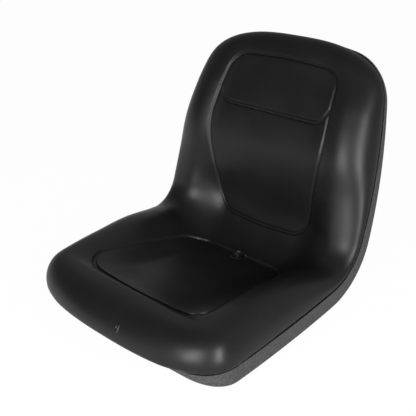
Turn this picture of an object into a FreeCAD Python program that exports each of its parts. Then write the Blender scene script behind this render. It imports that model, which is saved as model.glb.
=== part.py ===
import FreeCAD, Part

import math
import os

import Sketcher
from FreeCAD import Placement, Rotation, Vector

# High-backed seat of a ride on mower: a moulded vinyl cushion in a pressed steel pan.
# X runs across the seat with +X on the sitter's left, -Y is the front and +Z is up.
# The origin is the middle of the mounting bolts, on the underside of the pan floor.
# "Along" follows the rim of the pan: below zero on the seat, then round the bend and
# up the back. "Height" is measured square to the rim, into the cushion.

doc = FreeCAD.newDocument("MowerSeat")
sheet = doc.addObject("Spreadsheet::Sheet", "Dims")

sizes = [
    ("seat_width", 480, "rim, across the bend"),
    ("front_narrowing", 13, "each side of the rim, where the front corners start"),
    ("top_narrowing", 24, "each side of the rim, where the top corners start"),
    ("rim_rise", 7, "degrees that the rim climbs towards the rear"),
    ("back_recline", 18, "degrees that the back leans from upright"),
    ("bend_radius", 97, "rim, between seat and back"),
    ("bend_y", 116, "where the bend starts"),
    ("bend_z", 77, "where the bend starts"),
    ("pan_length", 326, "rim, from the bend to the front"),
    ("back_length", 346, "rim, from the bend to the top"),
    ("front_bow", 1500, "radius of the front edge"),
    ("front_corner", 68, "radius"),
    ("top_bow", 800, "radius of the top edge"),
    ("top_corner", 105, "radius"),
    ("rim_depth", 33, "upright rim on the seat"),
    ("rim_depth_front", 4, "upright rim at the front"),
    ("rim_depth_bend", 26, "upright rim at the end of the bend"),
    ("rim_depth_top", 6, "upright rim at the top of the back"),
    ("ledge_bend", 140, "radius of the ledge at the foot of the rim"),
    ("sheet_steel", 1.6, "thickness of the pan"),
    ("well_side", 33, "from the bolts to the side walls of the well"),
    ("well_front", 26, "from the front bolts to the front wall of the well"),
    ("well_land", 4, "flat ledge before the well, from where it sweeps up to the front"),
    ("well_reach", 212, "how far the well runs up the back"),
    ("well_depth_bend", 54, "below the rim at the end of the bend"),
    ("well_depth_top", 28, "below the rim at the upper end"),
    ("well_radius", 95, "bend of the well"),
    ("well_edge", 3, "bevel round its floor"),
    ("bolt_x", 254, "mounting bolts, across"),
    ("bolt_y", 203.2, "mounting bolts, front to rear"),
    ("bolt_hole", 9, "diameter"),
    ("weld_nut_side", 14, "square"),
    ("weld_nut_height", 6.5, "above the pan floor"),
    ("weld_nut_bore", 8.2, "diameter through it"),
    ("nose", 18, "cushion beyond the front of the rim"),
    ("nose_height", 11, "its foremost point above the rim"),
    ("nose_roll", 72, "from there to the top of the roll"),
    ("nose_corner", 84, "how far back the cushion's front corners reach"),
    ("side_roll", 46, "from the edge to the crest of the bolster"),
    ("head_roll", 62, "from the top edge to the full thickness"),
    ("head_corner", 95, "how far down the cushion's top corners reach"),
    ("middle_nose", 61, "cushion on its middle line, above the rim"),
    ("middle_front", 52, "at the front of the seat panel"),
    ("middle_seat", 22, "under the thighs"),
    ("middle_hip", -2, "under the hips"),
    ("middle_heel", -19, "where the rim starts to bend"),
    ("middle_bend", -23, "half way round the bend"),
    ("middle_knee", -9, "where the bend ends"),
    ("middle_lumbar", 26, "low on the back"),
    ("middle_back", 46, "half way up the back"),
    ("middle_shoulder", 42, "high on the back"),
    ("middle_head", 32, "where the top starts to roll over"),
    ("bolster_nose", 62, "crest of the bolsters, above the rim"),
    ("bolster_front", 61.5, "at the front of the seat panel"),
    ("bolster_seat", 61.5, "beside the thighs"),
    ("bolster_hip", 54, "beside the hips"),
    ("bolster_heel", 31, "where the rim starts to bend"),
    ("bolster_bend", 21, "half way round the bend"),
    ("bolster_knee", 21, "where the bend ends"),
    ("bolster_lumbar", 32, "low on the back"),
    ("bolster_back", 51, "half way up the back"),
    ("bolster_shoulder", 47, "high on the back"),
    ("bolster_head", 34, "where the top starts to roll over"),
    ("lip_gap", 0.4, "between rim and cushion"),
    ("belly_gap", 12, "between the pan floor and the foam"),
    ("belly_fade", 54, "from the front of the well to the foam's full depth"),
    ("groove_radius", 4.5, "moulded groove round the panels"),
    ("groove_lift", 1.8, "its centre above the surface"),
    ("seat_panel_front", 250, "forward of the bend, at the corners"),
    ("seat_panel_rear", 11, "behind the start of the bend"),
    ("seat_panel_front_width", 308, "at the front corners"),
    ("seat_panel_rear_width", 230, "at the rear corners"),
    ("seat_panel_corner", 44, "radius"),
    ("seat_panel_bow", 11, "how far the front edge bulges"),
    ("back_panel_foot", 26, "below the end of the bend"),
    ("back_panel_waist", 145, "its widest place, above the end of the bend"),
    ("back_panel_head", 294, "above the end of the bend"),
    ("back_panel_foot_width", 217, "at the bottom corners"),
    ("back_panel_waist_width", 282, "at its widest place"),
    ("back_panel_head_width", 250, "at the top corners"),
    ("back_panel_corner", 42, "radius"),
    ("back_panel_side", 300, "radius of the sides at the widest place"),
    ("back_panel_bow", 6, "how far the lower and upper edges bulge"),
    ("panel_bend", 600, "radius of the bulges"),
    ("divide_height", 193, "groove across the back panel, above the end of the bend"),
    ("divide_rise", 28, "how far its ends turn up"),
    ("divide_inset", 15, "from the sides of the panel to its corners"),
    ("divide_corner", 30, "radius"),
    ("drain_y", 128, "drain hole, on the middle line"),
    ("drain_bore", 11, "diameter inside the sleeve"),
    ("drain_wall", 1.6, "of the sleeve"),
    ("drain_length", 46, "of the sleeve"),
    ("drain_flange", 24, "diameter of its foot"),
    ("drain_flange_height", 2, "of its foot"),
    ("drain_clear", 0.4, "round the sleeve"),
    ("drain_mouth", 26, "diameter of the dished mouth"),
    ("drain_mouth_depth", 8, "below the cushion's surface"),
    ("stud_thread", 6, "diameter"),
    ("stud_length", 12, "outside the pan"),
    ("stud_plate", 26, "square plate in the foam"),
    ("stud_plate_height", 2, "thickness of that plate"),
    ("stud_clear", 0.3, "round the stud in the pan"),
    ("stud_inset", 40, "from the side of the rim"),
    ("stud_front", 236, "forward of the bend"),
    ("stud_rear", 48, "forward of the bend"),
    ("stud_back", 190, "up from the bend"),
    ("stud_boss", 30, "square block of foam over that plate"),
    ("stud_boss_height", 8, "how far the boss reaches above the rim"),
    ("nut_across", 10, "flats of the nut on a stud"),
    ("nut_height", 6, "of that nut"),
    ("nut_clear", 0.1, "round the thread of the stud"),
]
for row, (alias, value, note) in enumerate(sizes, start=1):
    sheet.set(f"A{row}", note)
    sheet.set(f"B{row}", str(value))
    sheet.setAlias(f"B{row}", alias)
doc.recompute()


def size(alias):
    return float(sheet.get(alias))


# The rim in side view

rise = math.radians(size("rim_rise"))
recline = math.radians(size("back_recline"))
bend = size("bend_radius")
turn = math.pi / 2 - rise - recline
bend_length = bend * turn
bend_start = Vector(0, size("bend_y"), size("bend_z"))
rearward = Vector(0, math.cos(rise), math.sin(rise))
upward = Vector(0, math.sin(recline), math.cos(recline))
seat_normal = Vector(0, -math.sin(rise), math.cos(rise))
back_normal = Vector(0, -math.cos(recline), math.sin(recline))
bend_centre = bend_start + seat_normal * bend
bend_end = bend_centre - back_normal * bend
seat_frame = Placement(bend_start, Rotation(Vector(1, 0, 0), size("rim_rise")))
back_frame = Placement(bend_end, Rotation(Vector(1, 0, 0), 270 - size("back_recline")))

# the ledge at the foot of the rim, which leans towards the rim on the back
ledge_lean = math.asin(size("rim_depth_bend") / math.hypot(size("back_length"), size("rim_depth_top")))
ledge_lean -= math.atan2(size("rim_depth_top"), size("back_length"))
knee_depth = size("rim_depth_bend") / math.cos(ledge_lean)
seat_ledge = Placement(bend_start - seat_normal * size("rim_depth"), seat_frame.Rotation)
ledge_turn = Rotation(Vector(1, 0, 0), 90 - size("back_recline") + math.degrees(ledge_lean))
back_ledge = Placement(bend_end - back_normal * knee_depth, ledge_turn)

well_toe = Vector(0, -size("bolt_y") / 2 - size("well_front"), 0)
well_half = size("bolt_x") / 2 + size("well_side")


def normal_at(along):
    angle = min(max(along / bend, 0), turn)
    return seat_normal * math.cos(angle) - rearward * math.sin(angle)


def place(along, across, height):
    normal = normal_at(along)
    point = bend_centre - normal * bend
    if along < 0:
        point = point + rearward * along
    elif along > bend_length:
        point = point + upward * (along - bend_length)
    return point + normal * height + Vector(across, 0, 0)


# Sketches

# the sketcher's numbers for the points of a piece and for the axes
start, end, centre = range(1, 4)
level_axis, upright_axis = range(-1, -3, -1)
origin = (level_axis, start)


def sketch_on(body, name, plane, offset=Placement()):
    sketch = body.newObject("Sketcher::SketchObject", name)
    sketch.AttachmentSupport = [(next(f for f in body.Origin.OriginFeatures if f.Role == plane), "")]
    sketch.MapMode = "FlatFace"
    sketch.AttachmentOffset = offset
    return sketch


def side_view(point):
    return Vector(point.y, point.z, 0)


# a piece of an outline is its index in the sketch, the end it comes from and the end it goes to


def line(sketch, from_point, to_point):
    return sketch.addGeometry(Part.LineSegment(from_point, to_point), False), start, end


def arc(sketch, middle, from_point, to_point):
    first = math.atan2(from_point.y - middle.y, from_point.x - middle.x)
    last = math.atan2(to_point.y - middle.y, to_point.x - middle.x)
    circle = Part.Circle(middle, Vector(0, 0, 1), (from_point - middle).Length)
    if (last - first) % (2 * math.pi) < math.pi:
        return sketch.addGeometry(Part.ArcOfCircle(circle, first, last), False), start, end
    return sketch.addGeometry(Part.ArcOfCircle(circle, last, first), False), end, start


def relate(sketch, kind, *where):
    sketch.addConstraint(Sketcher.Constraint(kind, *where))


def join(sketch, kind, piece, following):
    relate(sketch, kind, piece[0], piece[2], following[0], following[1])


def measure(sketch, name, formula, kind, *where):
    value = float(sketch.evalExpression(formula))
    value = math.radians(value) if kind == "Angle" else value
    index = sketch.addConstraint(Sketcher.Constraint(kind, *where, value))
    sketch.renameConstraint(index, name)
    sketch.setExpression(f"Constraints.{name}", formula)


def crossing(point, way, other_point, other_way):
    between = other_point - point
    spread = way.x * other_way.y - way.y * other_way.x
    return point + way * ((between.x * other_way.y - between.y * other_way.x) / spread)


def touching(point, middle, reach, side):
    """Way from a point along the line that passes a middle at a given distance."""
    to_middle = middle - point
    lean = math.degrees(math.asin(reach / to_middle.Length))
    return Rotation(Vector(0, 0, 1), side * lean).multVec(to_middle)


def rounding(corner, one_way, other_way, fillet):
    """Both ends and the middle of an arc that rounds a corner."""
    one = Vector(one_way).normalize()
    other = Vector(other_way).normalize()
    half = one.getAngle(other) / 2
    reach = fillet / math.tan(half)
    inward = (one + other).normalize()
    return corner + one * reach, corner + other * reach, corner + inward * (fillet / math.sin(half))


# Pan


def tray_profile(body):
    """Side view of the rim and of the ledge at its foot."""
    sketch = sketch_on(body, "tray_profile", "YZ_Plane")
    depth = size("rim_depth")
    drop = depth - size("rim_depth_front")
    top_along = bend_length + size("back_length")
    front = side_view(place(-size("pan_length"), 0, 0))
    front_foot = side_view(place(-size("pan_length"), 0, -size("rim_depth_front")))
    sweep_along = rim_height(well_toe)[0] - size("well_land")
    sweep = ((size("pan_length") + sweep_along) ** 2 + drop ** 2) / (2 * drop)
    sweep_middle = side_view(place(sweep_along, 0, sweep - depth))
    low_front = side_view(place(sweep_along, 0, -depth))
    top = side_view(place(top_along, 0, 0))
    low_top = side_view(place(top_along, 0, -size("rim_depth_top")))
    heel, knee = side_view(bend_start), side_view(bend_end)
    back_way = touching(low_top, knee, size("rim_depth_bend"), 1)
    corner = crossing(low_front, side_view(rearward), low_top, back_way)
    low, high, low_middle = rounding(corner, low_front - corner, low_top - corner, size("ledge_bend"))
    seat = line(sketch, front, heel)
    knee_arc = arc(sketch, side_view(bend_centre), heel, knee)
    back = line(sketch, knee, top)
    head = line(sketch, top, low_top)
    low_back = line(sketch, low_top, high)
    low_arc = arc(sketch, low_middle, high, low)
    low_seat = line(sketch, low, low_front)
    toe_arc = arc(sketch, sweep_middle, low_front, front_foot)
    toe = line(sketch, front_foot, front)
    join(sketch, "Tangent", seat, knee_arc)
    join(sketch, "Tangent", knee_arc, back)
    join(sketch, "Perpendicular", back, head)
    join(sketch, "Coincident", head, low_back)
    join(sketch, "Tangent", low_back, low_arc)
    join(sketch, "Tangent", low_arc, low_seat)
    join(sketch, "Tangent", low_seat, toe_arc)
    join(sketch, "Coincident", toe_arc, toe)
    join(sketch, "Perpendicular", toe, seat)
    relate(sketch, "Parallel", low_seat[0], seat[0])
    measure(sketch, "heel_y", "Dims.bend_y", "DistanceX", *origin, seat[0], end)
    measure(sketch, "heel_z", "Dims.bend_z", "DistanceY", *origin, seat[0], end)
    measure(sketch, "rise", "Dims.rim_rise", "Angle", seat[0])
    measure(sketch, "lean", "90 - Dims.back_recline", "Angle", back[0])
    measure(sketch, "seat", "Dims.pan_length", "Distance", seat[0])
    measure(sketch, "back", "Dims.back_length", "Distance", back[0])
    measure(sketch, "bend", "Dims.bend_radius", "Radius", knee_arc[0])
    measure(sketch, "low_bend", "Dims.ledge_bend", "Radius", low_arc[0])
    measure(sketch, "depth", "Dims.rim_depth", "Distance", seat[0], end, low_seat[0])
    toe_y = "(Dims.bend_y + Dims.bolt_y / 2 + Dims.well_front) * cos(Dims.rim_rise * 1 deg)"
    toe_z = "Dims.bend_z * sin(Dims.rim_rise * 1 deg)"
    sweep_run = f"Dims.pan_length - {toe_y} - {toe_z} - Dims.well_land"
    measure(sketch, "sweep", sweep_run, "Distance", low_seat[0], end, toe[0])
    measure(sketch, "toe", "Dims.rim_depth_front", "Distance", toe[0])
    measure(sketch, "head", "Dims.rim_depth_top", "Distance", head[0])
    measure(sketch, "knee", "Dims.rim_depth_bend", "Distance", back[0], start, low_back[0])
    return sketch


def well_profile(body):
    """Side view of the deep middle of the pan, with its flat floor on the mounting plane."""
    sketch = sketch_on(body, "well_profile", "YZ_Plane")
    sunk = size("rim_depth_top") / 2
    top_along = bend_length + size("well_reach")
    heel, knee = side_view(place(0, 0, -sunk)), side_view(place(bend_length, 0, -sunk))
    top = side_view(place(top_along, 0, -sunk))
    low_top = side_view(place(top_along, 0, -size("well_depth_top")))
    level = Vector(1, 0, 0)
    low_front = side_view(well_toe)
    front = crossing(low_front, side_view(seat_normal), heel, side_view(rearward))
    back_way = touching(low_top, knee, size("well_depth_bend") - sunk, 1)
    corner = crossing(low_front, level, low_top, back_way)
    low, high, low_middle = rounding(corner, low_front - corner, low_top - corner, size("well_radius"))
    seat = line(sketch, front, heel)
    knee_arc = arc(sketch, side_view(bend_centre), heel, knee)
    back = line(sketch, knee, top)
    head = line(sketch, top, low_top)
    low_back = line(sketch, low_top, high)
    low_arc = arc(sketch, low_middle, high, low)
    floor = line(sketch, low, low_front)
    toe = line(sketch, low_front, front)
    join(sketch, "Tangent", seat, knee_arc)
    join(sketch, "Tangent", knee_arc, back)
    join(sketch, "Perpendicular", back, head)
    join(sketch, "Coincident", head, low_back)
    join(sketch, "Tangent", low_back, low_arc)
    join(sketch, "Tangent", low_arc, floor)
    join(sketch, "Coincident", floor, toe)
    join(sketch, "Perpendicular", toe, seat)
    relate(sketch, "Horizontal", floor[0])
    relate(sketch, "PointOnObject", floor[0], end, level_axis)
    rim_centre_y = "Dims.bend_y - Dims.bend_radius * sin(Dims.rim_rise * 1 deg)"
    rim_centre_z = "Dims.bend_z + Dims.bend_radius * cos(Dims.rim_rise * 1 deg)"
    measure(sketch, "bend_y", rim_centre_y, "DistanceX", *origin, knee_arc[0], centre)
    measure(sketch, "bend_z", rim_centre_z, "DistanceY", *origin, knee_arc[0], centre)
    measure(sketch, "bend", "Dims.bend_radius + Dims.rim_depth_top / 2", "Radius", knee_arc[0])
    measure(sketch, "rise", "Dims.rim_rise", "Angle", seat[0])
    measure(sketch, "lean", "90 - Dims.back_recline", "Angle", back[0])
    measure(sketch, "toe", "Dims.bolt_y / 2 + Dims.well_front", "DistanceX", floor[0], end, *origin)
    measure(sketch, "back", "Dims.well_reach", "Distance", back[0])
    measure(sketch, "head", "Dims.well_depth_top - Dims.rim_depth_top / 2", "Distance", head[0])
    knee_depth = "Dims.well_depth_bend - Dims.rim_depth_top / 2"
    measure(sketch, "knee", knee_depth, "Distance", back[0], start, low_back[0])
    measure(sketch, "low_bend", "Dims.well_radius", "Radius", low_arc[0])
    return sketch


def rim_waste(body, name, frame, length, narrowing, bow, corner):
    """What lies outside the rim beyond one end of the bend, drawn flat on the rim."""
    sketch = sketch_on(body, name, "XY_Plane", frame)
    half, far = size("seat_width") / 2, size("seat_width")
    run = size(length) - size(corner)
    side = (run ** 2 + size(narrowing) ** 2) / (2 * size(narrowing))
    side_middle = Vector(half - side, 0, 0)
    bow_middle = Vector(0, size(bow) - size(length), 0)
    # the corner's middle is where both edges, moved in by its radius, cross
    to_bow = bow_middle - side_middle
    one, other = side - size(corner), size(bow) - size(corner)
    share = (one * one - other * other + to_bow.Length ** 2) / (2 * to_bow.Length)
    aside = math.sqrt(one * one - share * share)
    way = Vector(to_bow).normalize()
    corner_middle = side_middle + way * share + Vector(way.y, -way.x, 0) * aside
    side_end = corner_middle + (corner_middle - side_middle).normalize() * size(corner)
    bow_end = corner_middle + (corner_middle - bow_middle).normalize() * size(corner)

    def mirrored(point):
        return Vector(-point.x, point.y, 0)

    edge = Vector(half, 0, 0)
    out, far_out = Vector(far, 0, 0), Vector(far, -far, 0)
    right = arc(sketch, side_middle, edge, side_end)
    right_corner = arc(sketch, corner_middle, side_end, bow_end)
    front = arc(sketch, bow_middle, bow_end, mirrored(bow_end))
    left_corner = arc(sketch, mirrored(corner_middle), mirrored(bow_end), mirrored(side_end))
    left = arc(sketch, mirrored(side_middle), mirrored(side_end), mirrored(edge))
    left_land = line(sketch, mirrored(edge), mirrored(out))
    left_far = line(sketch, mirrored(out), mirrored(far_out))
    far_edge = line(sketch, mirrored(far_out), far_out)
    right_far = line(sketch, far_out, out)
    right_land = line(sketch, out, edge)
    join(sketch, "Tangent", right, right_corner)
    join(sketch, "Tangent", right_corner, front)
    join(sketch, "Tangent", front, left_corner)
    join(sketch, "Tangent", left_corner, left)
    join(sketch, "Perpendicular", left, left_land)
    join(sketch, "Coincident", left_land, left_far)
    join(sketch, "Coincident", left_far, far_edge)
    join(sketch, "Coincident", far_edge, right_far)
    join(sketch, "Coincident", right_far, right_land)
    join(sketch, "Perpendicular", right_land, right)
    for piece in (left_land, far_edge, right_land):
        relate(sketch, "Horizontal", piece[0])
    for piece in (left_far, right_far):
        relate(sketch, "Vertical", piece[0])
    relate(sketch, "Symmetric", right_land[0], end, left_land[0], start, upright_axis)
    relate(sketch, "Equal", right[0], left[0])
    relate(sketch, "Equal", right_corner[0], left_corner[0])
    relate(sketch, "PointOnObject", front[0], centre, upright_axis)
    relate(sketch, "PointOnObject", right_land[0], end, level_axis)
    measure(sketch, "width", "Dims.seat_width", "DistanceX", left_land[0], start, right_land[0], end)
    side_formula = f"((Dims.{length} - Dims.{corner})^2 + Dims.{narrowing}^2) / (2 * Dims.{narrowing})"
    measure(sketch, "side", side_formula, "Radius", right[0])
    measure(sketch, "corner", f"Dims.{corner}", "Radius", right_corner[0])
    measure(sketch, "bow", f"Dims.{bow}", "Radius", front[0])
    measure(sketch, "reach", f"Dims.{bow} - Dims.{length}", "DistanceY", *origin, front[0], centre)
    measure(sketch, "left_far", "Dims.seat_width / 2", "Distance", left_land[0])
    measure(sketch, "right_far", "Dims.seat_width / 2", "Distance", right_land[0])
    measure(sketch, "far", "Dims.seat_width", "Distance", right_far[0])
    return sketch


def pad(body, name, sketch, length):
    feature = body.newObject("PartDesign::Pad", name)
    feature.Profile = sketch
    feature.SideType = "Symmetric"
    feature.setExpression("Length", length)
    doc.recompute()
    return feature


def pocket(body, name, sketch, length=""):
    feature = body.newObject("PartDesign::Pocket", name)
    feature.Profile = sketch
    feature.SideType = "Symmetric"
    if length:
        feature.setExpression("Length", length)
    else:
        feature.Type = "ThroughAll"
    before = body.Shape.Volume
    doc.recompute()
    if feature.Shape.Volume > before - 1:
        raise RuntimeError(f"{name} cuts nothing")
    return feature


def bevel(body, name, base, edges, width):
    feature = body.newObject("PartDesign::Chamfer", name)
    feature.Base = (base, edges)
    feature.Refine = False
    feature.setExpression("Size", width)
    doc.recompute()
    return feature


def rim_height(point):
    """Along and height of a point, measured from the rim."""
    to_heel, to_knee = point - bend_start, point - bend_end
    if to_heel.dot(rearward) <= 0:
        return to_heel.dot(rearward), to_heel.dot(seat_normal)
    if to_knee.dot(upward) >= 0:
        return bend_length + to_knee.dot(upward), to_knee.dot(back_normal)
    spoke = Vector(0, point.y, point.z) - bend_centre
    angle = turn - math.asin(max(-1, min(1, spoke.normalize().dot(upward) * -1)))
    return bend * angle, bend - (Vector(0, point.y, point.z) - bend_centre).Length


def middle_of(edge):
    return edge.valueAt((edge.FirstParameter + edge.LastParameter) / 2)


def tray_depth(along):
    if along < bend_length:
        share = max(0, along) / bend_length
        return size("rim_depth") + (size("rim_depth_bend") - size("rim_depth")) * share
    share = (along - bend_length) / size("back_length")
    return size("rim_depth_bend") + (size("rim_depth_top") - size("rim_depth_bend")) * share


def sharp(shape, edge):
    point = middle_of(edge)
    normals = [face.normalAt(*face.Surface.parameter(point)) for face in shape.ancestorsOfType(edge, Part.Face)]
    return normals[0].getAngle(normals[-1]) > math.radians(15)


def well_edges(feature):
    """The sharp edges of the well: those round its floor and those where it leaves the ledge."""
    low, high = [], []
    for index, edge in enumerate(feature.Shape.Edges, start=1):
        along, height = rim_height(middle_of(edge))
        inside = max(abs(v.X) for v in edge.Vertexes) < well_half + 0.01
        if inside and height < -0.7 * tray_depth(along) and sharp(feature.Shape, edge):
            on_ledge = height > -tray_depth(along) - 2 * size("sheet_steel")
            (high if on_ledge else low).append((f"Edge{index}", middle_of(edge)))
    return low, high


def mouth_faces(feature):
    """The open side of the pan, level with the rim."""
    names = []
    for index, face in enumerate(feature.Shape.Faces, start=1):
        across, along = face.ParameterRange[:2], face.ParameterRange[2:]
        point = face.valueAt(sum(across) / 2, sum(along) / 2)
        if abs(rim_height(point)[1]) < 0.01:
            names.append(f"Face{index}")
    return names


def matching(edges, points):
    return [name for name, point in edges if any(point.isEqual(other, 0.01) for other in points)]


def others(edges, points):
    known = matching(edges, points)
    return [name for name, point in edges if name not in known]


def holes_in(body, name, frame, spots, length):
    """Round holes; each spot is a name, its two places and its diameter, as formulas."""
    sketch = sketch_on(body, name, "XY_Plane", frame)
    for spot, x, y, bore in spots:
        middle = Vector(*[float(sketch.evalExpression(place_formula)) for place_formula in (x, y)], 0)
        hole_radius = float(sketch.evalExpression(bore)) / 2
        circle = sketch.addGeometry(Part.Circle(middle, Vector(0, 0, 1), hole_radius), False)
        measure(sketch, f"{spot}_x", x, "DistanceX", *origin, circle, centre)
        measure(sketch, f"{spot}_y", y, "DistanceY", *origin, circle, centre)
        measure(sketch, f"{spot}_bore", bore, "Diameter", circle)
    return pocket(body, f"{name}_cut", sketch, length)


stud_across = "(Dims.seat_width / 2 - Dims.stud_inset)"
stud_bore = "Dims.stud_thread + 2 * Dims.stud_clear"
sleeve_bore = "Dims.drain_bore + 2 * Dims.drain_wall + 2 * Dims.drain_clear"


def make_pan():
    pan = doc.addObject("PartDesign::Body", "seat_pan")
    pad(pan, "tray", tray_profile(pan), "Dims.seat_width")
    seat_ends = ("pan_length", "front_narrowing", "front_bow", "front_corner")
    pocket(pan, "seat_outline", rim_waste(pan, "seat_waste", seat_frame, *seat_ends))
    back_ends = ("back_length", "top_narrowing", "top_bow", "top_corner")
    pocket(pan, "back_outline", rim_waste(pan, "back_waste", back_frame, *back_ends))
    well = pad(pan, "well", well_profile(pan), "Dims.bolt_x + 2 * Dims.well_side")
    outer_low = [point for name, point in well_edges(well)[0]]
    shell = pan.newObject("PartDesign::Thickness", "shell")
    shell.Base = (well, mouth_faces(well))
    shell.setExpression("Value", "Dims.sheet_steel")
    shell.Reversed = True
    doc.recompute()
    inner_low = others(well_edges(shell)[0], outer_low)
    inner_edge = "Dims.well_edge - (2 - sqrt(2)) * Dims.sheet_steel"
    inside = bevel(pan, "well_inside", shell, inner_low, inner_edge)
    bevel(pan, "well_outside", inside, matching(well_edges(inside)[0], outer_low), "Dims.well_edge")
    floor = [("drain", "0", "Dims.drain_y", sleeve_bore)]
    for side in ("-", ""):
        for end_name, end_sign in (("front", "-"), ("rear", "")):
            name = f"{'right' if side else 'left'}_{end_name}"
            floor.append((name, f"{side}Dims.bolt_x / 2", f"{end_sign}Dims.bolt_y / 2", "Dims.bolt_hole"))
    holes_in(pan, "floor_holes", Placement(), floor, "6 * Dims.sheet_steel")
    seat_studs, back_studs = [], []
    for name, side in (("right", "-"), ("left", "")):
        seat_studs.append((f"{name}_front", f"{side}{stud_across}", "-Dims.stud_front", stud_bore))
        seat_studs.append((f"{name}_rear", f"{side}{stud_across}", "-Dims.stud_rear", stud_bore))
        back_studs.append((name, f"{side}{stud_across}", "Dims.stud_back", stud_bore))
    holes_in(pan, "seat_studs", seat_ledge, seat_studs, "6 * Dims.sheet_steel")
    holes_in(pan, "back_studs", back_ledge, back_studs, "6 * Dims.sheet_steel")
    return pan


# Cushion

nose_along = -size("pan_length") - size("nose")
head_along = bend_length + size("back_length")
nose_power, head_power = 2.6, 2.8
panel_share = 0.35
roll_steps, inner_steps, run_step = 4, 6, 30
belly_shares = (1, 0.9, 0.72, 0.36)

seat_run, back_run = size("pan_length"), size("back_length")
stations = {
    "nose": nose_along + size("nose_roll"),
    "front": -0.78 * seat_run,
    "seat": -0.55 * seat_run,
    "hip": -0.28 * seat_run,
    "heel": 0,
    "bend": bend_length / 2,
    "knee": bend_length,
    "lumbar": bend_length + 0.2 * back_run,
    "back": bend_length + 0.4 * back_run,
    "shoulder": bend_length + 0.64 * back_run,
    "head": bend_length + 0.84 * back_run,
}


def smooth(share):
    share = min(max(share, 0), 1)
    return share * share * (3 - 2 * share)


def quarter(share):
    """Rise of a quarter circle, 0 to 1."""
    return math.sqrt(max(0, 1 - (1 - min(max(share, 0), 1)) ** 2))


def blend(line_name, along):
    """Height of a named line of the cushion, a smooth curve through its stations."""
    places = list(stations.values())
    heights = [size(f"{line_name}_{station}") for station in stations]
    if along <= places[0]:
        return heights[0]
    if along >= places[-1]:
        return heights[-1]
    last = len(places) - 1
    index = next(i for i in range(last) if along <= places[i + 1])

    def slope(i):
        low, high = max(i - 1, 0), min(i + 1, last)
        return (heights[high] - heights[low]) / (places[high] - places[low])

    span = places[index + 1] - places[index]
    share = (along - places[index]) / span
    rise_in = slope(index) * span * share * (1 - share) ** 2
    rise_out = slope(index + 1) * span * share * share * (share - 1)
    step = heights[index + 1] - heights[index]
    return heights[index] + step * smooth(share) + rise_in + rise_out


def side_bow(reach, length, narrowing, corner):
    """How far the side of the rim has come in at a distance from the bend."""
    run = size(length) - size(corner)
    side = (run ** 2 + size(narrowing) ** 2) / (2 * size(narrowing))
    return side - math.sqrt(side * side - reach * reach)


def half_width(along):
    half = size("seat_width") / 2
    if along < 0:
        half -= side_bow(along, "pan_length", "front_narrowing", "front_corner")
    elif along > bend_length:
        half -= side_bow(along - bend_length, "back_length", "top_narrowing", "top_corner")
    front = (nose_along + size("nose_corner") - along) / size("nose_corner")
    head = (along - head_along + size("head_corner")) / size("head_corner")
    if front > 0:
        half *= (1 - front ** nose_power) ** (1 / nose_power)
    if head > 0:
        half *= (1 - head ** head_power) ** (1 / head_power)
    return half


def edge_height(along):
    """Edge of the cushion: just above the rim, and lifted to the nose in front of it."""
    ahead = (-size("pan_length") - along) / size("nose")
    return size("lip_gap") + (size("nose_height") - size("lip_gap")) * (1 - quarter(1 - max(ahead, 0)))


def rolled(height, along):
    front = quarter((along - nose_along) / size("nose_roll"))
    head = quarter((head_along - along) / size("head_roll"))
    height = size("nose_height") + (height - size("nose_height")) * front
    return size("lip_gap") + (height - size("lip_gap")) * head


def top_height(along, across):
    half = half_width(along)
    crest = half - min(size("side_roll"), half / 2)
    bolster = rolled(blend("bolster", along), along)
    if abs(across) > crest:
        out = (half - abs(across)) / (half - crest)
        return edge_height(along) + (bolster - edge_height(along)) * quarter(out)
    middle = rolled(blend("middle", along), along)
    share = (abs(across) - panel_share * half) / (crest - panel_share * half)
    return middle + (bolster - middle) * smooth(share)


def belly_depth(along):
    """How deep the foam fills the well, below the rim."""
    gap = size("sheet_steel") + size("belly_gap")
    heel = size("bend_z") - gap
    knee = size("well_depth_bend") - gap
    top = size("well_depth_top") - gap
    if along < 0:
        fade = smooth((along - rim_height(well_toe)[0]) / size("belly_fade"))
        return (size("bend_z") + along * math.sin(rise) - gap) * fade
    if along < bend_length:
        return heel + (knee - heel) * along / bend_length
    share = (along - bend_length) / size("well_reach")
    return (knee + (top - knee) * share) * smooth(1.7 * (0.9 - share))


def under_height(along, across):
    share = abs(across) / half_width(along)
    return edge_height(along) - belly_depth(along) * smooth((0.92 - share) / 0.67)


def section(along):
    """Outline of the cushion cut square to the rim, in short straight runs."""
    half = half_width(along)
    roll = min(size("side_roll"), half / 2)
    crest = half - roll
    steps = range(roll_steps + 1)
    side = [crest + roll * math.cos(math.pi / 2 * step / roll_steps) for step in steps]
    right = side + [crest * (1 - step / inner_steps) for step in range(1, inner_steps)]
    across = right + [0] + [-x for x in reversed(right)]
    over = [place(along, x, top_height(along, x)) for x in across]
    across = [-half * share for share in belly_shares] + [half * share for share in reversed(belly_shares)]
    under = [place(along, x, under_height(along, x)) for x in across]
    return Part.makePolygon(over + under[1:])


def rounded_path(corners, closed):
    """Straight runs and arcs; a corner is its two places and its radius."""
    last_index = len(corners) - 1
    ends = []
    for index, (across, along, corner_radius) in enumerate(corners):
        corner = Vector(across, along, 0)
        if not closed and index in (0, last_index):
            ends.append((corner, corner, corner))
            continue
        before = Vector(*corners[index - 1][:2], 0)
        after = Vector(*corners[index + 1 if index < last_index else 0][:2], 0)
        ends.append(rounding(corner, before - corner, after - corner, corner_radius))
    edges = []
    for index, (first, last, middle) in enumerate(ends):
        if first != last:
            half = (first - middle) + (last - middle)
            through = middle + half * ((first - middle).Length / half.Length)
            edges.append(Part.Arc(first, through, last).toShape())
        if closed or index < last_index:
            following = ends[index + 1 if index < last_index else 0][0]
            edges.append(Part.LineSegment(last, following).toShape())
    return Part.Wire(edges)


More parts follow.
